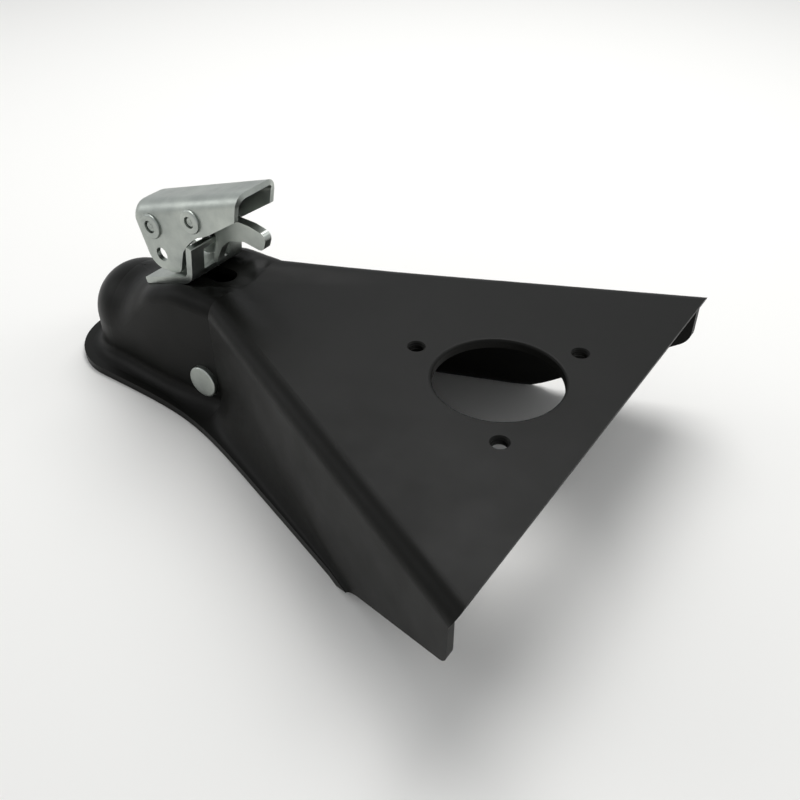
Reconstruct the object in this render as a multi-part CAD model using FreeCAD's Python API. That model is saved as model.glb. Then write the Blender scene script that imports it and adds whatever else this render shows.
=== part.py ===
import FreeCAD, Part
import math
import os
from FreeCAD import Vector

# A-frame trailer coupler for a 2 inch ball, with a lever latch.
# Millimetres. Origin at the centre of the ball, +X to the rear, +Z up.
# The walls and the ball socket are symmetric about the XZ plane.

# Ball and sheet
ball_d = 50.8
ball_gap = 0.4
sheet = 4.8

# Socket, from the ball's centre line back to the crease
socket_half_w = 33.3
socket_taper_len = 60.0
crease_x = 91.8
skirt_depth = 27.7
socket_fold_len = 45.0
dome_flat = 0.3

# Top plate and side walls
plate_z = 48.5
rear_x = 311.0
flare_deg = 25.0
fold_r = 9.0
fold_blend_len = 24.0
kink_x = 224.6
wall_rear_h = 31.0
wall_recess = 3.5
wall_corner_r = 9.0

# Ramp behind the dome, which carries the keeper plate
ramp_start_x = 22.0
ramp_end_x = 58.0
ramp_deg = 17.7

# Raised shoulders along the folds
ridge_h = 3.6
valley_depth = 2.3
ridge_start_x = 18.0
ridge_full_x = 62.0
ridge_fade_x = 78.0
ridge_end_x = 172.0
plain_x = 217.5
ridge_inset = 13.0
ridge_flank = 17.0
ridge_narrow = 6.0
ridge_steep = 5.0
ridge_open_x = 59.0
ridge_open_len = 26.0

# Bottom lip
lip_half_w = 44.0
lip_turn_x = 78.5
lip_turn_len = 16.0
lip_slope = 0.363
lip_end = 0.3
lip_fillet = 8.0
sweep_share = 0.6
sweep_full_share = 0.98
sweep_h = 40.0
sweep_lead = 3.0
sweep_climb_len = 26.0
sweep_end_h = 3.0

# Number of steps across the shell's top and along its lofts
top_steps = 7
socket_steps = 11
flank_steps = 9

# Jack opening in the plate, with its ring of tapped holes
jack_x = 252.9
jack_r = 32.5
jack_edge_r = 1.6
jack_bolt_circle_d = 95.25
jack_bolt_count = 3
jack_tap_r = 4.0
jack_tap_sink = 0.8

# Slot for the draw bolt
slot_half_w = 7.3
slot_rear_x = 81.0

# Cross pin of the ball clamp
pin_x = 82.0
pin_z = -4.1
pin_r = 6.35
pin_head_r = 9.7
pin_head_t = 3.2
pin_upset_r = 8.8
pin_upset_t = 2.8
pin_fit = 0.05

# Latch, in a frame that lies on the ramp: s along it, h square to it
latch_x = 47.2
seat_gap = 0.25
keeper_t = 4.0
keeper_half_w = 20.3
keeper_foot = 17.4
keeper_bend_r = 5.0
keeper_wall_s = 20.6
keeper_wall_deg = 25.0
keeper_wall_h = 17.8
window_half_w = 10.6
window_low_h = 1.0
window_high_h = 12.8
keeper_hole_r = 7.2

lobe_depth = 28.5
lobe_gap = 0.35
lobe_s = 6.6
lobe_r = 6.0
ear_front = 11.3
ear_front_r = 10.0
ear_front_depth = 25.4
lobe_front = 2.4
ear_hole_s = -0.5
ear_hole_depth = 17.0
ear_hole_r = 4.2
lever_half_w = 15.5
lever_t = 3.0
lever_front_flat = 0.1
lever_fold_rear_r = 5.5
lever_top_front = 19.3
lever_nose_r = 8.0
lever_web_end = 9.0
lever_top_rear = 14.2
lever_rear_top = 78.0
lever_rear_low = 68.5
lever_rear_low_h = 0.6
lever_corner_r = 3.0
ear_shoulder_h = -18.5
throat_front = 21.0
throat_front_h = -13.9
throat_rear = 36.0
throat_rear_h = -7.9

lever_rivet_r = 5.4
lever_rivet_head_r = 7.4
trigger_rivet_r = 4.8
trigger_rivet_head_r = 6.9
rivet_head_t = 1.5
rivet_hollow_share = 0.7
rivet_hollow_depth = 5.0
rivet_fit = 0.05
rivet_seat = 0.05

trigger_s = 34.8
trigger_h = 1.5
trigger_t = 5.2
trigger_boss_r = 7.0
trigger_top = 6.5
trigger_back_run = 17.0
trigger_back_h = -2.8
trigger_back_r = 8.0
tab_top_s = 64.0
tab_top_h = -7.4
tab_top_r = 12.0
tab_end_s = 74.0
tab_end_h = -13.4
tab_low_s = 67.8
tab_low_h = -22.2
tab_corner_r = 4.0
finger_rear_s = 55.6
finger_rear_h = -15.9
finger_front_s = 44.2
finger_front_h = -15.2
finger_r = 9.0
arm_low_s = 36.6
arm_low_h = -18.6
arm_low_r = 6.0
hook_tip_s = 25.4
hook_tip_h = -27.9
hook_tip_r = 1.0
hook_w = 3.4
hook_face_run = 0.8
hook_neck_h = -25.0
hook_heel_s = 30.2
hook_heel_r = 5.0
hook_corner_r = 1.5
arm_front_s = 31.2
arm_front_r = 3.0
arm_top_run = 0.2
arm_top_h = -11.5
cheek_run = 6.0
cheek_h = -3.0
cheek_r = 2.0

# Draw bolt, from the lever rivet down through the shell to the clamp
bolt_lean_deg = 8.0
bolt_r = 6.0
eye_r = 10.0
eye_gap = 0.6
eye_crown = 1.3
bolt_end_z = -26.0

# Ball clamp under the socket
clamp_half_w = 21.0
clamp_top_z = -1.0
clamp_arm_t = 8.5
clamp_tip_x = 13.0
clamp_nose_x = 28.0
clamp_bottom_z = -25.0
clamp_ball_gap = 0.3
barrel_r = 9.6
barrel_gap = 0.4
clamp_slot_half_l = 9.2
clamp_slot_half_w = 6.8
clamp_tip_rise = 6.0
clamp_nose_run = 7.0
clamp_chin_run = 2.0
clamp_edge_r = 2.0
clamp_chin_r = 3.0
clamp_throat_r = 5.0
rocker_r = 12.0
rocker_rise = 2.2
rocker_half_w = 13.0
rocker_foot_t = 2.0
rocker_gap = 0.3
nut_flats = 18.0
nut_h = 7.5
nut_collar = 2.0
nut_seat = 0.05

# Clamp spring and its two seats
spring_x = 45.4
spring_mean_r = 10.6
spring_wire_r = 1.3
spring_turns = 5.5
spring_gap = 0.3
seat_r = 13.5
seat_t = 2.0
seat_hole_r = 8.8
lower_seat_shift = 0.8
lower_washer_r = 13.4
lower_washer_hole_r = 9.2
lower_washer_t = 1.5

# Trigger spring, a double torsion spring on the trigger rivet
torsion_mean_r = 7.2
torsion_wire_r = 0.8
torsion_pitch = 1.9
torsion_gap = 0.5
torsion_leg = 9.0
torsion_turn_deg = 20.0

# Values worked out from the sizes above
ball_r = ball_d / 2
dome_r = ball_r + ball_gap + sheet
ground_z = -skirt_depth
ramp_slope = math.tan(math.radians(ramp_deg))
flare = math.tan(math.radians(flare_deg))
flare_cos = math.cos(math.radians(flare_deg))
ramp_start_z = dome_r + ramp_slope * ramp_start_x / 2
ramp_end_z = ramp_start_z + ramp_slope * (ramp_end_x - ramp_start_x)
valley_z = plate_z - valley_depth
valley_start_x = ramp_end_x + 2 * (valley_z - ramp_end_z) / ramp_slope
latch_z = ramp_start_z + ramp_slope * (latch_x - ramp_start_x)
keeper_top = seat_gap + keeper_t
pivot_h = keeper_top + lobe_gap + lobe_depth
lean = math.radians(bolt_lean_deg)
ramp_rad = math.radians(ramp_deg)
lever_fold_front_r = lever_half_w - lever_front_flat
eye_half_w = lever_half_w - lever_t - eye_gap
eye_ball_r = eye_half_w + eye_crown


def smooth(value):
    """Rise from 0 to 1 with level ends."""
    value = max(0.0, min(1.0, value))
    return value * value * (3 - 2 * value)


def latch_to_row(s, h):
    """Place a point of the latch frame in the part's own frame."""
    x = latch_x + s * math.cos(ramp_rad) - h * math.sin(ramp_rad)
    z = latch_z + s * math.sin(ramp_rad) + h * math.cos(ramp_rad)
    return Vector(x, 0, z)


def place_on_ramp(shape):
    turn = FreeCAD.Rotation(Vector(0, 1, 0), -ramp_deg)
    shape.Placement = FreeCAD.Placement(Vector(latch_x, 0, latch_z), turn)
    return shape


pivot = latch_to_row(0, pivot_h)


def bolt_point(z):
    """Point of the draw bolt's axis at a height."""
    return Vector(pivot.x + (pivot.z - z) * math.tan(lean), 0, z)


def along_bolt(shape, z):
    """Stand a shape made about +Z on the draw bolt's axis at a height."""
    turn = FreeCAD.Rotation(Vector(0, 1, 0), -bolt_lean_deg)
    shape.Placement = FreeCAD.Placement(bolt_point(z), turn)
    return shape


# Shell

def half_width(x):
    if x <= crease_x:
        return dome_r + (socket_half_w - dome_r) * smooth(x / socket_taper_len)
    return socket_half_w + flare * (x - crease_x)


def centre_height(x):
    """Height of the outer skin on the centre line."""
    if x <= ramp_start_x:
        return dome_r + ramp_slope * x * x / (2 * ramp_start_x)
    if x <= ramp_end_x:
        return ramp_start_z + ramp_slope * (x - ramp_start_x)
    if x <= valley_start_x:
        run = valley_start_x - ramp_end_x
        return valley_z - ramp_slope * (valley_start_x - x) ** 2 / (2 * run)
    return valley_z + valley_depth * (1 - shoulder_fade(x))


def shoulder_fade(x):
    return smooth((ridge_end_x - x) / (ridge_end_x - ridge_fade_x))


def shoulder_height(x):
    rise = smooth((x - ridge_start_x) / (ridge_full_x - ridge_start_x))
    return ridge_h * rise * shoulder_fade(x)


def shoulder_rise(x, y):
    """Height of the shoulder above the valley at a distance from the centre."""
    opened = smooth((x - ridge_open_x) / ridge_open_len)
    flank = ridge_steep + (ridge_flank - ridge_steep) * opened
    crest = half_width(x) - ridge_inset + ridge_narrow * (1 - opened)
    return shoulder_height(x) * smooth((abs(y) - crest + flank) / flank)


def fold_radius(x):
    front = dome_r - dome_flat - fold_r
    return fold_r + front * (1 - smooth(x / socket_fold_len))


def fold_run(x, inset):
    """Width that the fold takes of the section, wider where the wall is flared."""
    stretch = (1 / flare_cos - 1) * smooth((x - crease_x) / fold_blend_len)
    return (fold_radius(x) - inset) * (1 + stretch)


def lip_width(x):
    """Half width of the bottom lip's outline."""
    bend = math.log(1 + math.exp((x - lip_turn_x) / lip_turn_len))
    run = lip_half_w + lip_slope * lip_turn_len * bend
    return max(run, half_width(x) + lip_end)


def sweep_run(x):
    """Width of the concave sweep between a wall and its lip."""
    widening = smooth((x - socket_fold_len) / socket_fold_len)
    share = sweep_share + (sweep_full_share - sweep_share) * widening
    return share * (lip_width(x) - half_width(x))


def sweep_rise(x):
    """Height of the concave sweep; it climbs behind the crease and runs out at the kink."""
    climb = (sweep_h - lip_fillet) * smooth((x - crease_x + sweep_lead) / sweep_climb_len)
    left = max(0.0, min(1.0, (kink_x - x) / (kink_x - crease_x)))
    return (lip_fillet + climb) * left + sweep_end_h * (1 - left)


def crest_height(x, inset):
    """Height of the skin where the fold meets the top."""
    outer_flat = half_width(x) - fold_run(x, 0)
    return centre_height(x) - inset + shoulder_rise(x, outer_flat)


def top_edge(x, inset):
    """Top of a section, from the near fold to the far one."""
    flat = half_width(x) - inset - fold_run(x, inset)
    low = centre_height(x) - inset
    if x > ridge_end_x:
        return Part.makeLine(Vector(x, flat, low), Vector(x, -flat, low))
    points = []
    for i in range(-top_steps, top_steps + 1):
        y = -flat * i / top_steps
        points.append(Vector(x, y, low + shoulder_rise(x, y)))
    points[0] = Vector(x, flat, crest_height(x, inset))
    points[-1] = Vector(x, -flat, crest_height(x, inset))
    knots = [i / (2 * top_steps) for i in range(2 * top_steps + 1)]
    curve = Part.BSplineCurve()
    curve.interpolate(Points=points, Parameters=knots)
    return curve.toShape()


def quarter(start, corner, end):
    """Quarter of a circle or an oval between two tangents that meet at a corner."""
    curve = Part.BSplineCurve()
    curve.buildFromPolesMultsKnots([start, corner, end], [3, 3], [0, 1], False, 2, [1, math.sqrt(0.5), 1])
    return curve.toShape()


def wall_edges(x, inset, side):
    """Edges of one wall, from the lip's bottom up to the edge of the top."""
    wide = half_width(x) - inset
    crest = crest_height(x, inset)
    edge = lip_width(x)
    run = sweep_run(x)
    rise = sweep_rise(x)
    if inset == 0:
        low = ground_z + sheet
        lip = [
            Part.makeLine(Vector(x, side * edge, ground_z), Vector(x, side * edge, low)),
            Part.makeLine(Vector(x, side * edge, low), Vector(x, side * (wide + run), low)),
        ]
    else:
        low = ground_z
        run += inset
        rise += inset
        lip = []
    sweep_top = Vector(x, side * wide, low + rise)
    corner = Vector(x, side * wide, crest - fold_radius(x) + inset)
    top = Vector(x, side * (wide - fold_run(x, inset)), crest)
    sweep = quarter(Vector(x, side * (wide + run), low), Vector(x, side * wide, low), sweep_top)
    fold = quarter(corner, Vector(x, side * wide, crest), top)
    return lip + [sweep, Part.makeLine(sweep_top, corner), fold]


def section(x, inset):
    """Closed section of the shell square to X; inset 0 gives its outer skin."""
    near = wall_edges(x, inset, 1)
    far = wall_edges(x, inset, -1)
    base = Part.makeLine(far[0].Vertexes[0].Point, near[0].Vertexes[0].Point)
    return Part.Wire([base] + near + [top_edge(x, inset)] + far[::-1])


def hood_loft(start, end, steps, inset):
    step = (end - start) / steps
    wires = [section(start + step * i, inset) for i in range(steps + 1)]
    return Part.makeLoft(wires, True)


def straight_piece(start, end, inset):
    """Piece between two sections, flat wherever the edges on both are straight."""
    first = section(start, inset)
    last = section(end, inset)
    faces = [Part.Face(first), Part.Face(last)]
    for near, far in zip(first.Edges, last.Edges):
        if isinstance(near.Curve, Part.Line):
            corners = [near.Vertexes[0].Point, near.Vertexes[1].Point,
                       far.Vertexes[1].Point, far.Vertexes[0].Point]
            faces.append(Part.Face(Part.makePolygon(corners + corners[:1])))
        else:
            faces.append(Part.makeRuledSurface(near, far))
    shell = Part.makeShell(faces)
    shell.sewShape()
    return Part.Solid(shell)


def front_turn(inset):
    """Half turn of the section at the ball's centre line, about the ball's axis."""
    edges = wall_edges(0, inset, 1)
    top = Vector(0, 0, dome_r - inset)
    foot = Vector(0, 0, ground_z)
    edges.append(Part.makeLine(edges[-1].Vertexes[1].Point, top))
    edges.append(Part.makeLine(top, foot))
    edges.append(Part.makeLine(foot, edges[0].Vertexes[0].Point))
    return Part.Face(Part.Wire(edges)).revolve(Vector(0, 0, 0), Vector(0, 0, 1), 180)


def hood_pieces(inset):
    """Front, socket, flank and rear of the shell, solid out to one skin."""
    return [
        front_turn(inset),
        hood_loft(0, crease_x, socket_steps, inset),
        hood_loft(crease_x, plain_x, flank_steps, inset),
        straight_piece(plain_x, rear_x + inset, inset),
    ]


def prism(points, half):
    """Rounded outline in the XZ plane, as thick as twice half along Y."""
    face = outline(points)
    face.translate(Vector(0, -half, 0))
    return face.extrude(Vector(0, 2 * half, 0))


def outline(points):
    """Face in the XZ plane; each point carries its own corner radius."""
    count = len(points)
    edges = []
    ends = []
    for i in range(count):
        before = points[i - 1]
        x, z, radius = points[i]
        after = points[(i + 1) % count]
        corner = Vector(x, 0, z)
        back = Vector(before[0] - x, 0, before[1] - z)
        ahead = Vector(after[0] - x, 0, after[1] - z)
        if radius == 0:
            ends.append((corner, None, corner))
            continue
        half_angle = back.getAngle(ahead) / 2
        reach = radius / math.tan(half_angle)
        back.normalize()
        ahead.normalize()
        middle = back + ahead
        middle.normalize()
        centre = corner + middle * (radius / math.sin(half_angle))
        ends.append((corner + back * reach, centre - middle * radius, corner + ahead * reach))
    for i in range(count):
        start, middle, end = ends[i]
        if middle is not None:
            edges.append(Part.Arc(start, middle, end).toShape())
        following = ends[(i + 1) % count][0]
        if (following - end).Length > 1e-6:
            edges.append(Part.makeLine(end, following))
    return Part.Face(Part.Wire(edges))


def cross_cylinder(x, z, radius, y_start, y_end):
    """Cylinder lying along Y."""
    return Part.makeCylinder(radius, y_end - y_start, Vector(x, y_start, z), Vector(0, 1, 0))


def rounded_bore(radius, edge_r, z_top, depth):
    """Cutter for a hole in the plate, with its upper edge rounded."""
    points = [Vector(0, 0, z_top - depth), Vector(radius, 0, z_top - depth), Vector(radius, 0, z_top - edge_r)]
    edges = [Part.makeLine(points[0], points[1]), Part.makeLine(points[1], points[2])]
    rim = Vector(radius + edge_r, 0, z_top)
    edges.append(quarter(points[2], Vector(radius, 0, z_top), rim))
    edges.append(Part.makeLine(rim, Vector(radius + edge_r, 0, z_top + 1)))
    edges.append(Part.makeLine(Vector(radius + edge_r, 0, z_top + 1), Vector(0, 0, z_top + 1)))
    edges.append(Part.makeLine(Vector(0, 0, z_top + 1), points[0]))
    return Part.Face(Part.Wire(edges)).revolve(Vector(0, 0, 0), Vector(0, 0, -1), 360)


def hood_cutters():
    """Openings in the shell: jack hole, tapped ring, bolt slot and pin holes."""
    jack = rounded_bore(jack_r, jack_edge_r, plate_z, 3 * sheet)
    jack.translate(Vector(jack_x, 0, 0))
    cutters = [jack]
    for i in range(jack_bolt_count):
        angle = math.pi + 2 * math.pi * i / jack_bolt_count
        x = jack_x + jack_bolt_circle_d / 2 * math.cos(angle)
        y = jack_bolt_circle_d / 2 * math.sin(angle)
        cutters.append(Part.makeCylinder(jack_tap_r, 3 * sheet, Vector(x, y, plate_z - 2 * sheet)))
        sink = Part.makeCone(jack_tap_r, jack_tap_r + 2 * jack_tap_sink, 2 * jack_tap_sink)
        sink.translate(Vector(x, y, plate_z - jack_tap_sink))
        cutters.append(sink)
    slot_front = bolt_point(latch_z).x
    deep = 8 * sheet
    low = latch_z - 4 * sheet
    for x in (slot_front, slot_rear_x - slot_half_w):
        cutters.append(Part.makeCylinder(slot_half_w, deep, Vector(x, 0, low)))
    long = slot_rear_x - slot_half_w - slot_front
    cutters.append(Part.makeBox(long, 2 * slot_half_w, deep, Vector(slot_front, -slot_half_w, low)))
    cutters.append(cross_cylinder(pin_x, pin_z, pin_r + pin_fit, -2 * socket_half_w, 2 * socket_half_w))
    return cutters


def rear_cutter():
    """Everything below and behind the rising rear ends of the side walls."""
    wall_x = rear_x - wall_recess
    low_z = plate_z - wall_rear_h
    far = rear_x + 3 * sheet
    below = ground_z - 3 * sheet
    points = [
        (kink_x, below, 0),
        (kink_x, ground_z, 0),
        (wall_x, low_z, wall_corner_r),
        (wall_x, plate_z - fold_r, fold_r / 3),
        (rear_x, plate_z - sheet / 3, 0),
        (far, plate_z - sheet / 3, 0),
        (far, below, 0),
    ]
    return prism(points, half_width(far) + sheet)


def hood():
    """Pressed one-piece shell: ball socket, walls, lip and top plate."""
    solids = hood_pieces(0)
    hollows = hood_pieces(sheet)
    rings = [solid.cut(hollow) for solid, hollow in zip(solids, hollows)]
    shell = rings[0]
    for ring_piece in rings[1:]:
        shell = shell.fuse(ring_piece)
    return shell.removeSplitter().cut(rear_cutter()).cut(hood_cutters())


# Keeper plate, welded on the ramp

def keeper():
    """Base plate and upright wall with a window that the trigger's hook enters."""
    tilt = math.radians(keeper_wall_deg)
    low = seat_gap
    top = keeper_top
    rise = keeper_wall_h
    lean_run = rise * math.tan(tilt)
    inner = keeper_wall_s
    outer = inner + keeper_t * (1 - math.sin(tilt)) / math.cos(tilt)
    points = [
        (-keeper_foot, low, 1.0),
        (outer, low, keeper_bend_r + keeper_t),
        (inner + lean_run + keeper_t * math.cos(tilt), top + rise - keeper_t * math.sin(tilt), 0.8),
        (inner + lean_run, top + rise, 0.8),
        (inner, top, keeper_bend_r),
        (-keeper_foot, top, 1.0),
    ]
    plate = prism(points, keeper_half_w)
    window = Part.makeBox(4 * keeper_t + lean_run, 2 * window_half_w, window_high_h - window_low_h,
                          Vector(inner, -window_half_w, top + window_low_h))
    bolt_s = -(pivot_h - keeper_top) * math.tan(ramp_rad - lean)
    hole = Part.makeCylinder(keeper_hole_r, 4 * keeper_t, Vector(bolt_s, 0, -keeper_t))
    return place_on_ramp(plate.cut(window).cut(hole))


# Lever and trigger, both made about the lever rivet

def lever_outline(inset):
    """Side view of the lever; the inset one is the inside of its channel."""
    front_low = -ear_front_depth
    return [
        (-ear_front + inset, lever_top_front - inset, lever_nose_r - inset),
        (-ear_front + inset, front_low, ear_front_r),
        (lobe_front, -lobe_depth, 2.0),
        (lobe_s + lobe_r, -lobe_depth, lobe_r),
        (lobe_s + lobe_r, ear_shoulder_h, 3.0),
        (throat_front, throat_front_h, 8.0),
        (throat_rear, throat_rear_h, 30.0),
        (lever_rear_low, lever_rear_low_h, lever_corner_r),
        (lever_rear_top, lever_top_rear - inset, lever_corner_r),
    ]


def hat_section(s, inset):
    """Section of the handle square to its length: two sides and a rounded top."""
    half = lever_half_w - inset
    share = (s + ear_front) / (lever_rear_top + ear_front)
    radius = lever_fold_front_r + (lever_fold_rear_r - lever_fold_front_r) * share - inset
    top = web_height(s) - inset
    low = -2 * lobe_depth
    flat = half - radius
    return Part.Wire([
        Part.makeLine(Vector(s, -half, low), Vector(s, half, low)),
        Part.makeLine(Vector(s, half, low), Vector(s, half, top - radius)),
        quarter(Vector(s, half, top - radius), Vector(s, half, top), Vector(s, flat, top)),
        Part.makeLine(Vector(s, flat, top), Vector(s, -flat, top)),
        quarter(Vector(s, -flat, top), Vector(s, -half, top), Vector(s, -half, top - radius)),
        Part.makeLine(Vector(s, -half, top - radius), Vector(s, -half, low)),
    ])


def lever():
    """Formed channel: two ears with cam feet, joined by the handle's web."""
    front = -ear_front - lever_t
    rear = lever_rear_top + lever_t
    skin = Part.makeLoft([hat_section(front, 0), hat_section(rear, 0)], True, True)
    hollow = Part.makeLoft([hat_section(front, lever_t), hat_section(rear + lever_t, lever_t)], True, True)
    low = -2 * lobe_depth
    inside = prism([
        (-ear_front + lever_t, lever_top_front + lever_nose_r, 0),
        (-ear_front + lever_t, lever_web_end, 0),
        (-4 * ear_front, lever_web_end, 0),
        (-4 * ear_front, 2 * low, 0),
        (2 * lever_rear_top, 2 * low, 0),
        (2 * lever_rear_top, lever_top_front + lever_nose_r, 0),
    ], lever_half_w - lever_t)
    nose = prism([
        (-ear_front + lever_t, lever_top_front - lever_t, lever_nose_r - lever_t),
        (-ear_front + lever_t, low, 0),
        (2 * lever_rear_top, low, 0),
        (2 * lever_rear_top, web_height(2 * lever_rear_top) - lever_t, 0),
    ], lever_half_w)
    mouth = Part.makeBox(4 * ear_front, 2 * (lever_half_w - lever_t), 3 * lobe_depth,
                         Vector(-4 * ear_front, lever_t - lever_half_w, lever_web_end - 3 * lobe_depth))
    body = prism(lever_outline(0), lever_half_w).common(skin)
    body = body.cut(hollow.common(inside).common(nose)).cut(mouth)
    wide = 2 * lever_half_w
    for s, h, radius in ((0, 0, lever_rivet_r + rivet_fit),
                         (trigger_s, trigger_h, trigger_rivet_r + rivet_fit),
                         (ear_hole_s, -ear_hole_depth, ear_hole_r)):
        body = body.cut(cross_cylinder(s, h, radius, -wide, wide))
    return place_on_pivot(body)


def web_height(s):
    """Height of the lever's top above the rivet, along its length."""
    slope = (lever_top_rear - lever_top_front) / (lever_rear_top + ear_front)
    return lever_top_front + slope * (s + ear_front)


def place_on_pivot(shape):
    turn = FreeCAD.Rotation(Vector(0, 1, 0), -ramp_deg)
    shape.Placement = FreeCAD.Placement(pivot, turn)
    return shape


def rivet(s, h, radius, head_r):
    """Tubular rivet through both ears, with a rolled head at each end."""
    half = lever_half_w + rivet_seat
    shank = cross_cylinder(s, h, radius, -half, half)
    for side in (-1, 1):
        inner = min(side * half, side * (half + rivet_head_t))
        head = cross_cylinder(s, h, head_r, inner, inner + rivet_head_t)
        rim = [edge for edge in head.Edges if abs(abs(edge.BoundBox.YMin) - half - rivet_head_t) < 1e-6
               and edge.BoundBox.YMax - edge.BoundBox.YMin < 1e-6]
        shank = shank.fuse(head.makeFillet(rivet_head_t * 0.6, rim))
        hollow_end = side * (half + rivet_head_t + 1)
        hollow_start = side * (half + rivet_head_t - rivet_hollow_depth)
        shank = shank.cut(cross_cylinder(s, h, radius * rivet_hollow_share,
                                         min(hollow_start, hollow_end), max(hollow_start, hollow_end)))
    return place_on_pivot(shank)


def trigger():
    """Single plate in the middle of the lever: finger tab, boss and hook."""
    plate = prism([
        (trigger_s, trigger_h + trigger_top, arm_front_r),
        (trigger_s + trigger_back_run, trigger_back_h, trigger_back_r),
        (tab_top_s, tab_top_h, tab_top_r),
        (tab_end_s, tab_end_h, tab_corner_r),
        (tab_low_s, tab_low_h, tab_corner_r),
        (finger_rear_s, finger_rear_h, finger_r),
        (finger_front_s, finger_front_h, finger_r),
        (arm_low_s, arm_low_h, arm_low_r),
        (hook_heel_s, hook_neck_h, hook_heel_r),
        (hook_tip_s + hook_w, hook_tip_h, hook_corner_r),
        (hook_tip_s, hook_tip_h, hook_tip_r),
        (hook_tip_s + hook_face_run, hook_neck_h, hook_corner_r),
        (arm_front_s, arm_low_h, arm_front_r),
        (trigger_s + arm_top_run, arm_top_h, arm_front_r),
        (trigger_s - cheek_run, cheek_h, cheek_r),
    ], trigger_t / 2)
    half = trigger_t / 2
    plate = plate.fuse(cross_cylinder(trigger_s, trigger_h, trigger_boss_r, -half, half))
    plate = plate.cut(cross_cylinder(trigger_s, trigger_h, trigger_rivet_r + rivet_fit, -half - 1, half + 1))
    return place_on_pivot(plate)


def coil(mean_r, wire_r, turns, height):
    """Round wire wound about +Z, starting at Z = 0."""
    pitch = height / turns
    path = Part.makeHelix(pitch, height, mean_r)
    start = Part.makeCircle(wire_r, Vector(mean_r, 0, 0), Vector(0, 1, pitch / (2 * math.pi * mean_r)))
    return Part.Wire(path.Edges).makePipeShell([Part.Wire([start])], True, True)


def trigger_spring():
    """Coils on both sides of the trigger, each with two legs and as many whole turns as fit."""
    room = lever_half_w - lever_t - trigger_t / 2 - 2 * torsion_gap - 2 * torsion_wire_r
    turns = int(room / torsion_pitch)
    long = turns * torsion_pitch
    wound = coil(torsion_mean_r, torsion_wire_r, turns, long)
    for z, leg_side in ((0, -1), (long, 1)):
        leg = Part.makeCylinder(torsion_wire_r, torsion_leg, Vector(torsion_mean_r, 0, z), Vector(0, leg_side, 0))
        wound = wound.fuse(leg)
    wound.rotate(Vector(0, 0, 0), Vector(0, 0, 1), torsion_turn_deg)
    wound.rotate(Vector(0, 0, 0), Vector(1, 0, 0), -90)
    wound.translate(Vector(trigger_s, trigger_t / 2 + torsion_gap + torsion_wire_r, trigger_h))
    other = wound.mirror(Vector(0, 0, 0), Vector(0, 1, 0))
    return place_on_pivot(Part.makeCompound([wound, other]))


# Draw bolt and what it carries

def draw_bolt():
    """Eye on the lever rivet and a long shank down to the adjusting nut."""
    length = (pivot.z - bolt_end_z) / math.cos(lean)
    shank = Part.makeCylinder(bolt_r, length)
    tip = [edge for edge in shank.Edges if edge.BoundBox.ZMax < 1e-6 and len(edge.Vertexes) == 1]
    shank = along_bolt(shank.makeChamfer(1.2, tip), bolt_end_z)
    eye = cross_cylinder(pivot.x, pivot.z, eye_r, -eye_half_w, eye_half_w)
    eye = eye.common(Part.makeSphere(eye_ball_r, pivot))
    neck = Part.makeCone(bolt_r, bolt_r * 1.35, eye_r)
    turn = FreeCAD.Rotation(Vector(0, 1, 0), -bolt_lean_deg)
    neck.Placement = FreeCAD.Placement(bolt_point(pivot.z - 1.7 * eye_r), turn)
    body = shank.fuse(eye).fuse(neck)
    bore = lever_rivet_r + rivet_fit
    return body.cut(cross_cylinder(pivot.x, pivot.z, bore, -2 * eye_half_w, 2 * eye_half_w))


def rocker_centre_z():
    """Height of the rocker's centre of curvature, on the bolt's axis."""
    return clamp_top_z - clamp_arm_t - rocker_gap - rocker_r


def rocker():
    """Convex pad under the clamp that lets the clamp tilt on the bolt."""
    chord_z = rocker_r - rocker_rise
    dome = cross_cylinder(0, 0, rocker_r, -rocker_half_w, rocker_half_w)
    keep = Part.makeBox(4 * rocker_r, 4 * rocker_r, 2 * rocker_r, Vector(-2 * rocker_r, -2 * rocker_r, chord_z))
    foot_half = math.sqrt(rocker_r ** 2 - chord_z ** 2)
    foot = Part.makeBox(2 * foot_half, 2 * rocker_half_w, rocker_foot_t,
                        Vector(-foot_half, -rocker_half_w, chord_z - rocker_foot_t))
    pad = dome.common(keep).fuse(foot)
    pad = pad.cut(Part.makeCylinder(bolt_r + pin_fit, 4 * rocker_r, Vector(0, 0, -rocker_r)))
    return along_bolt(pad, rocker_centre_z())


def nut():
    """Adjusting lock nut: hexagon with a round collar below it."""
    top = rocker_r - rocker_rise - rocker_foot_t - nut_seat
    corner = nut_flats / math.sqrt(3)
    points = [Vector(corner * math.cos(math.pi * i / 3), corner * math.sin(math.pi * i / 3), top - nut_h)
              for i in range(7)]
    body = Part.Face(Part.makePolygon(points)).extrude(Vector(0, 0, nut_h))
    collar = Part.makeCylinder(nut_flats * 0.43, nut_collar, Vector(0, 0, top - nut_h - nut_collar))
    body = body.fuse(collar)
    body = body.cut(Part.makeCylinder(bolt_r + pin_fit, 4 * nut_h, Vector(0, 0, top - 2.5 * nut_h)))
    return along_bolt(body, rocker_centre_z())


# Ball clamp and its pin

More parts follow.
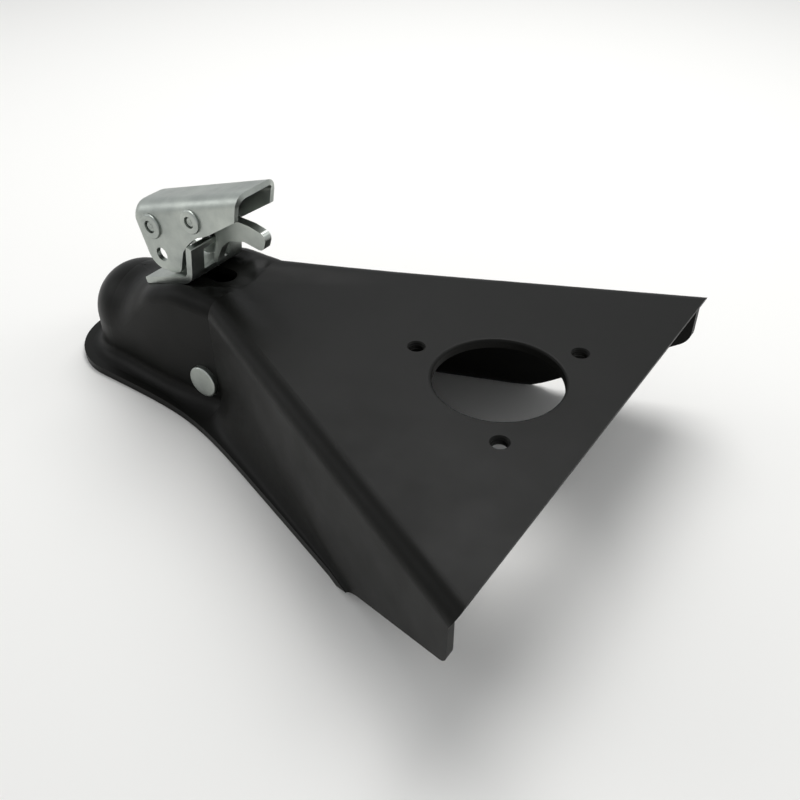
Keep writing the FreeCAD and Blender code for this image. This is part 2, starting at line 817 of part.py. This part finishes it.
def clamp():
    """Swinging jaw on the cross pin, cupped to the ball's underside."""
    low = clamp_top_z - clamp_arm_t
    barrel_half_w = half_width(pin_x) - sheet - barrel_gap
    arm = prism([
        (pin_x, clamp_top_z, 0),
        (clamp_nose_x, clamp_top_z, clamp_edge_r),
        (clamp_tip_x, clamp_bottom_z + clamp_tip_rise, clamp_edge_r / 2),
        (clamp_tip_x, clamp_bottom_z, clamp_edge_r * 0.75),
        (clamp_nose_x - clamp_chin_run, clamp_bottom_z, clamp_chin_r),
        (clamp_nose_x + clamp_nose_run, low, clamp_throat_r),
        (pin_x, low, 0),
    ], clamp_half_w)
    ball = Part.makeSphere(ball_r + clamp_ball_gap)
    body = arm.cut(ball).fuse(cross_cylinder(pin_x, pin_z, barrel_r, -barrel_half_w, barrel_half_w))
    body = body.cut(cross_cylinder(pin_x, pin_z, pin_r + pin_fit, -2 * barrel_half_w, 2 * barrel_half_w))
    x = bolt_point((clamp_top_z + low) / 2).x
    side = clamp_slot_half_l - clamp_slot_half_w
    for shift in (-side, side):
        body = body.cut(Part.makeCylinder(clamp_slot_half_w, 4 * clamp_arm_t,
                                          Vector(x + shift, 0, low - 2 * clamp_arm_t)))
    body = body.cut(Part.makeBox(2 * side, 2 * clamp_slot_half_w, 4 * clamp_arm_t,
                                 Vector(x - side, -clamp_slot_half_w, low - 2 * clamp_arm_t)))
    return body


def cross_pin():
    """Headed pin through both walls, upset on the far side."""
    wall = half_width(pin_x) + rivet_seat
    pin = cross_cylinder(pin_x, pin_z, pin_r, -wall, wall)
    head = cross_cylinder(pin_x, pin_z, pin_head_r, -wall - pin_head_t, -wall)
    rim = [edge for edge in head.Edges if abs(edge.BoundBox.YMax + wall + pin_head_t) < 1e-6]
    head = head.makeFillet(0.9, rim)
    upset = cross_cylinder(pin_x, pin_z, pin_upset_r, wall, wall + pin_upset_t)
    rim = [edge for edge in upset.Edges if abs(edge.BoundBox.YMin - wall - pin_upset_t) < 1e-6]
    upset = upset.makeFillet(pin_upset_t * 0.7, rim)
    return pin.fuse(head).fuse(upset)


def ring(x, z, outer_r, hole_r, thick):
    body = Part.makeCylinder(outer_r, thick, Vector(x, 0, z))
    return body.cut(Part.makeCylinder(hole_r, 3 * thick, Vector(x, 0, z - thick)))


def seat_top_z():
    """Height at which the upper seat meets the underside of the ramp."""
    x = spring_x - seat_r
    return centre_height(x) - sheet - seat_gap


def upper_seat():
    return ring(spring_x, seat_top_z() - seat_t, seat_r, seat_hole_r, seat_t)


def lower_seat():
    return ring(spring_x + lower_seat_shift, clamp_top_z + seat_gap, lower_washer_r,
                lower_washer_hole_r, lower_washer_t)


def clamp_spring():
    """Compression spring that swings the clamp open."""
    low = clamp_top_z + seat_gap + lower_washer_t + spring_gap + spring_wire_r
    high = seat_top_z() - seat_t - spring_gap - spring_wire_r
    wound = coil(spring_mean_r, spring_wire_r, spring_turns, high - low)
    wound.translate(Vector(spring_x, 0, low))
    return wound


nodes = {
    "hood": hood,
    "keeper": keeper,
    "cross_pin": cross_pin,
    "clamp": clamp,
    "lower_spring_seat": lower_seat,
    "upper_spring_seat": upper_seat,
    "clamp_spring": clamp_spring,
    "draw_bolt": draw_bolt,
    "rocker_pad": rocker,
    "adjusting_nut": nut,
    "lever": lever,
    "lever_rivet": lambda: rivet(0, 0, lever_rivet_r, lever_rivet_head_r),
    "trigger_rivet": lambda: rivet(trigger_s, trigger_h, trigger_rivet_r, trigger_rivet_head_r),
    "trigger": trigger,
    "trigger_spring": trigger_spring,
}

os.makedirs("parts", exist_ok=True)
for name, build in nodes.items():
    shape = build()
    shape.exportStep("parts/" + name + ".step")
    print(name, shape.isValid(), len(shape.Solids), round(shape.Volume, 1))
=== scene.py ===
import bmesh
import bpy
import math
from mathutils import Matrix, Vector


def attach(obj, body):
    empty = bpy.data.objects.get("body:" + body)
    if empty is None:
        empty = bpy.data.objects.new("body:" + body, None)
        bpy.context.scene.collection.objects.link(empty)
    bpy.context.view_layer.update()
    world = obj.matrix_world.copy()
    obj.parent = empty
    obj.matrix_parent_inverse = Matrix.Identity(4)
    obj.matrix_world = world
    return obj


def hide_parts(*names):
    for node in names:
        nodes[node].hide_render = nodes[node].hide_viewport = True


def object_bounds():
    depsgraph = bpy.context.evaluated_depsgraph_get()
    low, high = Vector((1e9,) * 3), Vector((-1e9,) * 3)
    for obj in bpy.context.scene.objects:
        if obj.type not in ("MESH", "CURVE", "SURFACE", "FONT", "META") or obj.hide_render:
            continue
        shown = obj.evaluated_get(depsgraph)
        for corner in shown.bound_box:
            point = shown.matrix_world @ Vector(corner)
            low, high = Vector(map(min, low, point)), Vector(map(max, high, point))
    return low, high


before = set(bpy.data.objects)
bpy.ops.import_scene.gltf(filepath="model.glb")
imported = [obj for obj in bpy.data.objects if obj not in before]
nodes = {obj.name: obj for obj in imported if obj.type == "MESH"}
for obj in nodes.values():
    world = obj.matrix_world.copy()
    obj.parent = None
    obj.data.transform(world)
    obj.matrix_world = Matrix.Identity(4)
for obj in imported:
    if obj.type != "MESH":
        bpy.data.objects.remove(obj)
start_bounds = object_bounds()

# A-frame trailer coupler with a lever latch. Metres; +X to the rear, +Z up.

scene = bpy.context.scene


# Finishes

def srgb(code):
    """Linear RGBA from a hex colour such as "1c1b18"."""
    values = [int(code[i:i + 2], 16) / 255 for i in (0, 2, 4)]
    linear = [v / 12.92 if v <= 0.04045 else ((v + 0.055) / 1.055) ** 2.4 for v in values]
    return (*linear, 1.0)


def add(tree, kind, inputs, **settings):
    """Node with its settings; each input is a value, or a socket that it is linked from."""
    node = tree.nodes.new(kind)
    for key, value in settings.items():
        setattr(node, key, value)
    for name, value in inputs.items():
        if isinstance(value, bpy.types.NodeSocket):
            tree.links.new(value, node.inputs[name])
        else:
            node.inputs[name].default_value = value
    return node


def set_stops(ramp, stops):
    """Colours of a ramp, as (place, hex colour) from low to high."""
    elements = ramp.color_ramp.elements
    while len(elements) < len(stops):
        elements.new(0.5)
    for element, (place, colour) in zip(elements, stops):
        element.position = place
        element.color = srgb(colour)


def empty_finish(name):
    """Material with an empty tree, and the coordinates of the piece that wears it."""
    material = bpy.data.materials.new(name)
    material.use_nodes = True
    tree = material.node_tree
    tree.nodes.clear()
    coords = add(tree, "ShaderNodeTexCoord", {})
    return material, tree, coords.outputs["Object"]


def scale_for(width_mm):
    """Scale of a noise whose pattern is about this wide; the coordinates are metres."""
    return 1000 / width_mm


def surface(tree, inputs):
    """Principled surface that the material shows."""
    shader = add(tree, "ShaderNodeBsdfPrincipled", inputs)
    add(tree, "ShaderNodeOutputMaterial", {"Surface": shader.outputs["BSDF"]})


def satin_black_paint():
    """Sprayed satin enamel on pressed steel: near black, a little warm, with a soft sheen.

    The tone drifts over about 110 mm and the sheen over 33 mm. The spray's grain is drawn 1.1 mm
    wide, which is coarser than the real one, so that it shows.
    """
    drift_mm, cloud_mm, grain_mm = 111.11, 33.333, 1.1111
    material, tree, coords = empty_finish("satin black paint")
    drift = add(tree, "ShaderNodeTexNoise", {
        "Vector": coords, "Scale": scale_for(drift_mm), "Detail": 5.0, "Roughness": 0.55,
    })
    tone = add(tree, "ShaderNodeValToRGB", {"Fac": drift.outputs["Fac"]})
    set_stops(tone, [(0.3, "0c0c0a"), (0.7, "121210")])
    cloud = add(tree, "ShaderNodeTexNoise", {
        "Vector": coords, "Scale": scale_for(cloud_mm), "Detail": 6.0, "Roughness": 0.55,
    })
    sheen = add(tree, "ShaderNodeMapRange", {
        "Value": cloud.outputs["Fac"], "From Min": 0.3, "From Max": 0.7, "To Min": 0.34, "To Max": 0.46,
    })
    grain = add(tree, "ShaderNodeTexNoise", {
        "Vector": coords, "Scale": scale_for(grain_mm), "Detail": 2.0, "Roughness": 0.55,
    })
    relief = add(tree, "ShaderNodeBump", {
        "Height": grain.outputs["Fac"], "Strength": 0.06, "Distance": 0.0004,
    })
    surface(tree, {
        "Base Color": tone.outputs["Color"],
        "Roughness": sheen.outputs["Result"],
        "Specular IOR Level": 0.10,
        "Normal": relief.outputs["Normal"],
    })
    return material


def clear_zinc_plating():
    """Barrel-plated zinc on sheet steel: pale grey with a faint green, cloudy and softly worn.

    The clouds are 25 mm wide. The handling marks are about 17 mm long and a third as high, and
    the sheet's grain is drawn 1.4 mm wide, coarser than the real one, so that it shows.
    """
    cloud_mm, mark_mm, grain_mm = 25.0, 16.6667, 1.42857
    material, tree, coords = empty_finish("clear zinc plating")
    cloud = add(tree, "ShaderNodeTexNoise", {
        "Vector": coords, "Scale": scale_for(cloud_mm), "Detail": 6.0, "Roughness": 0.6,
    })
    tone = add(tree, "ShaderNodeValToRGB", {"Fac": cloud.outputs["Fac"]})
    set_stops(tone, [(0.3, "999e9a"), (0.55, "b0b5af"), (0.75, "bfc4bd")])
    flat_marks = add(tree, "ShaderNodeMapping", {"Vector": coords, "Scale": (1, 1, 3)})
    marks = add(tree, "ShaderNodeTexNoise", {
        "Vector": flat_marks.outputs["Vector"], "Scale": scale_for(mark_mm), "Detail": 6.0,
        "Roughness": 0.6,
    })
    sheen = add(tree, "ShaderNodeMapRange", {
        "Value": marks.outputs["Fac"], "From Min": 0.3, "From Max": 0.7, "To Min": 0.28, "To Max": 0.46,
    })
    grain = add(tree, "ShaderNodeTexNoise", {
        "Vector": coords, "Scale": scale_for(grain_mm), "Detail": 3.0, "Roughness": 0.55,
    })
    relief = add(tree, "ShaderNodeBump", {
        "Height": grain.outputs["Fac"], "Strength": 0.05, "Distance": 0.0003,
    })
    surface(tree, {
        "Base Color": tone.outputs["Color"],
        "Metallic": 1.0,
        "Roughness": sheen.outputs["Result"],
        "Normal": relief.outputs["Normal"],
    })
    return material


def dull_black_coating():
    """Dipped coating on the cast clamp: dull black over a sandy skin of 2 mm grain."""
    sand_mm = 2.0
    material, tree, coords = empty_finish("dull black coating")
    sand = add(tree, "ShaderNodeTexNoise", {
        "Vector": coords, "Scale": scale_for(sand_mm), "Detail": 4.0, "Roughness": 0.55,
    })
    relief = add(tree, "ShaderNodeBump", {
        "Height": sand.outputs["Fac"], "Strength": 0.25, "Distance": 0.0006,
    })
    surface(tree, {"Base Color": srgb("1d1c1a"), "Roughness": 0.6, "Normal": relief.outputs["Normal"]})
    return material


def drawn_spring_wire():
    """Bare drawn spring wire: smooth grey steel, too thin to show its drawing lines."""
    material, tree, _ = empty_finish("plain spring wire")
    surface(tree, {"Base Color": srgb("77787a"), "Metallic": 1.0, "Roughness": 0.35})
    return material


paint_mat = satin_black_paint()
zinc_mat = clear_zinc_plating()
casting_mat = dull_black_coating()
wire_mat = drawn_spring_wire()

# Finish of each node that isn't zinc plated
finishes = {
    "hood": paint_mat,
    "clamp": casting_mat,
    "clamp_spring": wire_mat,
    "trigger_spring": wire_mat,
}

# Least turn that counts as a sharp edge, and how far such edges are rounded
sharp_angle = math.radians(32.0)
edge_r = 0.0005
lever_edge_r = 0.0004


def dress(obj, material, edge):
    """Finish and smooth shading, with the sharp edges rounded where edge is given."""
    obj.data.materials.clear()
    obj.data.materials.append(material)
    for polygon in obj.data.polygons:
        polygon.use_smooth = True
    if edge:
        modifier = obj.modifiers.new("edge", "BEVEL")
        modifier.width = edge
        modifier.segments = 2
        modifier.limit_method = "ANGLE"
        modifier.angle_limit = sharp_angle
        modifier.harden_normals = True


def linked(name, bm):
    """Object in the scene from a finished bmesh."""
    mesh = bpy.data.meshes.new(name)
    bm.to_mesh(mesh)
    bm.free()
    obj = bpy.data.objects.new(name, mesh)
    scene.collection.objects.link(obj)
    return obj


# Latch, measured from the front rivet's centre: s back along the ramp, y across, h square to the ramp

ramp_tilt = math.radians(17.7)
pivot = Vector((0.037137, 0, 0.073686))

# Rear rivet and the ears' open hole, as (s, h)
trigger_rivet = (0.0348, 0.0015)
ear_hole = (-0.0005, -0.0170)


def latch_point(s, y, h):
    x = s * math.cos(ramp_tilt) - h * math.sin(ramp_tilt)
    z = s * math.sin(ramp_tilt) + h * math.cos(ramp_tilt)
    return pivot + Vector((x, y, z))


# Lever: half width, sheet, ends, and its top and fold radius as (front, rear)

lever_half = 0.0155
lever_sheet = 0.003
lever_front = -0.0113
lever_rear = 0.078
lever_top = (0.0137, 0.0135)
lever_fold = (0.0095, 0.0066)
fold_steps = 10

# Slanted rear end, from the side's lower edge to the web
lever_end_low = (0.0684, -0.0005)
lever_end_high = (0.0760, 0.0135)
lever_spare = 0.002

# Nose: rounding of the web seen from the side, and its bulge seen from above
nose_r = 0.005
nose_bulge = 0.0045
nose_bulge_len = 0.014

# Front of the ear's foot
foot_r = 0.010
foot_start = 0.0154
foot_drop = 0.0108
foot_steps = 12
station_step = 0.0008

# Ear's foot, rear edge and the handle's lower edge, as (s, h)
lower_edge = [
    (-0.0013, -0.0262),
    (0.0030, -0.0283),
    (0.0090, -0.0282),
    (0.0114, -0.0268),
    (0.0140, -0.0228),
    (0.0167, -0.0189),
    (0.0186, -0.0163),
    (0.0219, -0.0138),
    (0.0246, -0.0121),
    (0.0296, -0.0097),
    (0.0347, -0.0081),
    (0.0435, -0.0071),
    (0.0534, -0.0044),
    (0.0651, -0.0012),
    (0.0820, 0.0030),
]

# Holes in the ears, as (s, h, radius)
lever_holes = (
    (0, 0, 0.00545),
    (*trigger_rivet, 0.00485),
    (*ear_hole, 0.0042),
)

# Mouth in the nose, where the bolt's neck lies when the lever is open: its middle and its size
mouth_s = -0.0215
mouth_h = -0.0106
mouth_len = 0.037
mouth_w = 0.0172
mouth_high = 0.040


def along_lever(s, ends):
    """Value at s of a size that runs evenly from the front to the rear."""
    share = (s - lever_front) / (lever_rear - lever_front)
    return ends[0] + (ends[1] - ends[0]) * share


def lever_low(s):
    """Height of the lower edge of the ear and of the handle's side."""
    run = s - lever_front
    if run < foot_r:
        return -foot_start - foot_drop * math.sqrt(max(0.0, 1 - (1 - run / foot_r) ** 2))
    for (s0, h0), (s1, h1) in zip(lower_edge, lower_edge[1:]):
        if s <= s1:
            return h0 + (h1 - h0) * (s - s0) / (s1 - s0)
    return lower_edge[-1][1]


def lever_crown(s):
    """Height of the middle of the web, rounded down at the nose."""
    top = along_lever(s, lever_top)
    run = s - lever_front
    if run < nose_r:
        top -= nose_r - math.sqrt(nose_r ** 2 - (nose_r - run) ** 2)
    return top


def lever_section(s):
    """Half section as (y, h), from the side's lower edge over the fold to the middle of the web."""
    fold = along_lever(s, lever_fold)
    crown = lever_crown(s)
    shoulder = along_lever(s, lever_top) - fold
    low = lever_low(s)
    points = [(lever_half, low), (lever_half, (low + shoulder) / 2)]
    for i in range(fold_steps + 1):
        angle = math.pi / 2 * i / fold_steps
        y = lever_half - fold + fold * math.cos(angle)
        points.append((y, shoulder + (crown - shoulder) * math.sin(angle)))
    points.append((0, crown))
    return points


def lever_stations():
    """Places along the lever at which its section is set, closer together over the foot's front."""
    stations = []
    for i in range(foot_steps + 1):
        stations.append(lever_front + foot_r * (1 - math.cos(math.pi / 2 * i / foot_steps)))
    while stations[-1] < lever_rear + lever_spare:
        stations.append(stations[-1] + station_step)
    return stations


def lever_skin():
    """Outer skin of the folded sheet, cut off at its slanted rear end."""
    bm = bmesh.new()
    rows = []
    for s in lever_stations():
        half = lever_section(s)
        path = [(-y, h) for y, h in half] + [(y, h) for y, h in reversed(half[:-1])]
        fade = max(0.0, 1 - (s - lever_front) / nose_bulge_len) ** 2
        row = []
        for y, h in path:
            ahead = nose_bulge * fade * (1 - (y / lever_half) ** 2)
            row.append(bm.verts.new(latch_point(s - ahead, y, h)))
        rows.append(row)
    for first, second in zip(rows, rows[1:]):
        for a, b, c, d in zip(first, first[1:], second[1:], second):
            bm.faces.new((a, b, c, d))
    low_end = latch_point(lever_end_low[0], 0, lever_end_low[1])
    rise = latch_point(lever_end_high[0], 0, lever_end_high[1]) - low_end
    rearward = Vector((0, 1, 0)).cross(rise)
    bmesh.ops.bisect_plane(bm, geom=bm.verts[:] + bm.edges[:] + bm.faces[:], plane_co=low_end,
                           plane_no=rearward, clear_outer=True)
    return linked("lever_formed", bm)


def hole_cutter(s, h, radius):
    """Round bar across the lever."""
    bm = bmesh.new()
    bmesh.ops.create_cone(bm, cap_ends=True, segments=48, radius1=radius, radius2=radius, depth=0.05)
    turn = Matrix.Rotation(math.pi / 2, 4, "X")
    bmesh.ops.transform(bm, matrix=Matrix.Translation(latch_point(s, 0, h)) @ turn, verts=bm.verts)
    return linked("hole_cutter", bm)


def mouth_cutter():
    """Block that opens the nose."""
    bm = bmesh.new()
    for corner in bmesh.ops.create_cube(bm, size=1.0)["verts"]:
        s = mouth_s + mouth_len * corner.co.x
        h = mouth_h + mouth_high * corner.co.z
        corner.co = latch_point(s, mouth_w * corner.co.y, h)
    bmesh.ops.recalc_face_normals(bm, faces=bm.faces[:])
    return linked("mouth_cutter", bm)


def formed_lever():
    """Lever as one folded sheet with two ears, a rounded nose and a handle open at the rear."""
    obj = lever_skin()
    sheet = obj.modifiers.new("sheet", "SOLIDIFY")
    sheet.thickness = lever_sheet
    sheet.offset = 1.0
    cutters = [hole_cutter(s, h, radius) for s, h, radius in lever_holes] + [mouth_cutter()]
    for cutter in cutters:
        cut = obj.modifiers.new("cut", "BOOLEAN")
        cut.operation = "DIFFERENCE"
        cut.solver = "EXACT"
        cut.object = cutter
    bpy.context.view_layer.update()
    evaluated = obj.evaluated_get(bpy.context.evaluated_depsgraph_get())
    finished = bpy.data.meshes.new_from_object(evaluated)
    obj.modifiers.clear()
    obj.data = finished
    for cutter in cutters:
        bpy.data.objects.remove(cutter)
    dress(obj, zinc_mat, lever_edge_r)
    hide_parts("lever")
    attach(obj, "lever")


# Small turned pieces

def turned(name, profile, place, axis, steps):
    """Closed ring or disc turned about an axis; the profile is (radius, distance along the axis)."""
    bm = bmesh.new()
    turn = Vector((0, 0, 1)).rotation_difference(Vector(axis)).to_matrix()
    rows = []
    for radius, run in profile:
        row = []
        for k in range(steps if radius > 0 else 1):
            angle = 2 * math.pi * k / steps
            point = Vector((radius * math.cos(angle), radius * math.sin(angle), run))
            row.append(bm.verts.new(place + turn @ point))
        rows.append(row)
    for first, second in zip(rows, rows[1:] + rows[:1]):
        for k in range(steps):
            corners = [first[k % len(first)], first[(k + 1) % len(first)],
                       second[(k + 1) % len(second)], second[k % len(second)]]
            corners = list(dict.fromkeys(corners))
            if len(corners) > 2:
                bm.faces.new(corners)
    bmesh.ops.recalc_face_normals(bm, faces=bm.faces[:])
    return linked(name, bm)


# Dished centres of the rivets: (s, h, radius) of each, and the height of a head's face
rivets = ((0, 0, 0.00376), (*trigger_rivet, 0.00334))
rivet_face = lever_half + 0.00155
centre_t = 0.0030

# Section of a centre, from the middle of its dish round to its underside: share of the radius, height
dish = (
    (0, -0.0014),
    (0.35, -0.0013),
    (0.6, -0.0007),
    (0.8, -0.0011),
    (1, -0.0017),
    (1, -centre_t),
    (0, -centre_t),
)


def rivet_centres():
    """Shallow dished centres that close both ends of the two rivets."""
    for number, (s, h, radius) in enumerate(rivets):
        profile = [(radius * share, height) for share, height in dish]
        for side, letter in ((-1, "n"), (1, "f")):
            place = latch_point(s, side * rivet_face, h)
            piece = turned("rivet_centre_%d%s" % (number, letter), profile, place, (0, side, 0), 32)
            dress(piece, zinc_mat, 0)
            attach(piece, "lever")


# Threads of the three holes round the jack opening; they start just above the plate's underside
jack_x = 0.2529
bolt_circle_r = 0.047625
plate_underside = 0.0437
thread_count = 3
thread_start = 0.0004
thread_pitch = 0.0015
thread_turns = 2
thread_crest_r = 0.0034
thread_root_r = 0.00398
thread_back_r = 0.00399


def tapped_threads():
    """Thread ridges inside the three tapped holes."""
    profile = [(thread_back_r, thread_start)]
    for turn in range(thread_turns):
        low = thread_start + thread_pitch * turn
        profile.append((thread_crest_r, low + thread_pitch / 2))
        profile.append((thread_root_r, low + thread_pitch))
    profile.append((thread_back_r, thread_start + thread_pitch * thread_turns))
    for number in range(thread_count):
        angle = math.pi + 2 * math.pi * number / thread_count
        across = bolt_circle_r * math.sin(angle)
        place = Vector((jack_x + bolt_circle_r * math.cos(angle), across, plate_underside))
        piece = turned("thread_%d" % number, profile, place, (0, 0, 1), 40)
        dress(piece, paint_mat, 0)
        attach(piece, "shell")


rivet_centres()
tapped_threads()
formed_lever()

for name, node in nodes.items():
    is_spring = name in ("clamp_spring", "trigger_spring")
    dress(node, finishes.get(name, zinc_mat), 0 if is_spring else edge_r)


# Floor, light and camera

floor_size = 24.0
floor_middle = 0.13
floor_gap = 0.0002
ground_z = start_bounds[0][2]

# Camera at the photograph's place, measured from the coupler's edges: its place and its three axes
camera_place = (0.4102, -0.3163, 0.3101)
camera_right = (0.8271, 0.5621, 0.0)
camera_up = (-0.3474, 0.5113, 0.7861)
camera_back = (0.4419, -0.6501, 0.6181)
camera_lens = 40.64
camera_sensor = 36.0


def pale_floor():
    """Matt pale board under the coupler."""
    bpy.ops.mesh.primitive_plane_add(size=floor_size, location=(floor_middle, 0, ground_z - floor_gap))
    plane = bpy.context.object
    material, tree, _ = empty_finish("pale floor")
    surface(tree, {"Base Color": srgb("f4f3f0"), "Roughness": 0.75})
    plane.data.materials.append(material)


def soft_light(name, place, aim, size, power):
    """White soft box turned towards a point."""
    light = bpy.data.lights.new(name, "AREA")
    light.shape = "RECTANGLE"
    light.size, light.size_y = size
    light.energy = power
    obj = bpy.data.objects.new(name, light)
    scene.collection.objects.link(obj)
    obj.location = place
    obj.rotation_euler = (Vector(aim) - Vector(place)).to_track_quat("-Z", "Y").to_euler()


def room():
    """Even pale room; seen directly or in a reflection it is lighter than the light it gives."""
    world = bpy.data.worlds.new("room")
    scene.world = world
    world.use_nodes = True
    tree = world.node_tree
    tree.nodes.clear()
    rays = add(tree, "ShaderNodeLightPath", {})
    seen = add(tree, "ShaderNodeMath", {
        0: rays.outputs["Is Camera Ray"], 1: rays.outputs["Is Glossy Ray"],
    }, operation="MAXIMUM")
    strength = add(tree, "ShaderNodeMapRange", {
        "Value": seen.outputs["Value"], "To Min": 0.62, "To Max": 0.95,
    })
    air = add(tree, "ShaderNodeBackground", {
        "Color": srgb("d8dadc"), "Strength": strength.outputs["Result"],
    })
    add(tree, "ShaderNodeOutputWorld", {"Surface": air.outputs["Background"]})


def camera():
    """Camera that sees the coupler as the photograph does."""
    data = bpy.data.cameras.new("camera")
    obj = bpy.data.objects.new("camera", data)
    scene.collection.objects.link(obj)
    turn = Matrix((camera_right, camera_up, camera_back)).transposed().to_4x4()
    obj.matrix_world = Matrix.Translation(camera_place) @ turn
    data.lens = camera_lens
    data.sensor_width = camera_sensor
    data.clip_start = 0.01
    scene.camera = obj


pale_floor()
soft_light("key", (-0.10, 0.55, 1.20), (0.12, 0, 0.03), (0.9, 0.9), 12)
soft_light("side", (-0.9, -0.5, 0.6), (0.05, 0, 0.03), (0.6, 0.6), 1.5)
soft_light("rear", (0.9, 0.6, 0.9), (0.15, 0, 0.03), (0.7, 0.5), 2)
room()
camera()
scene.view_settings.view_transform = "Standard"
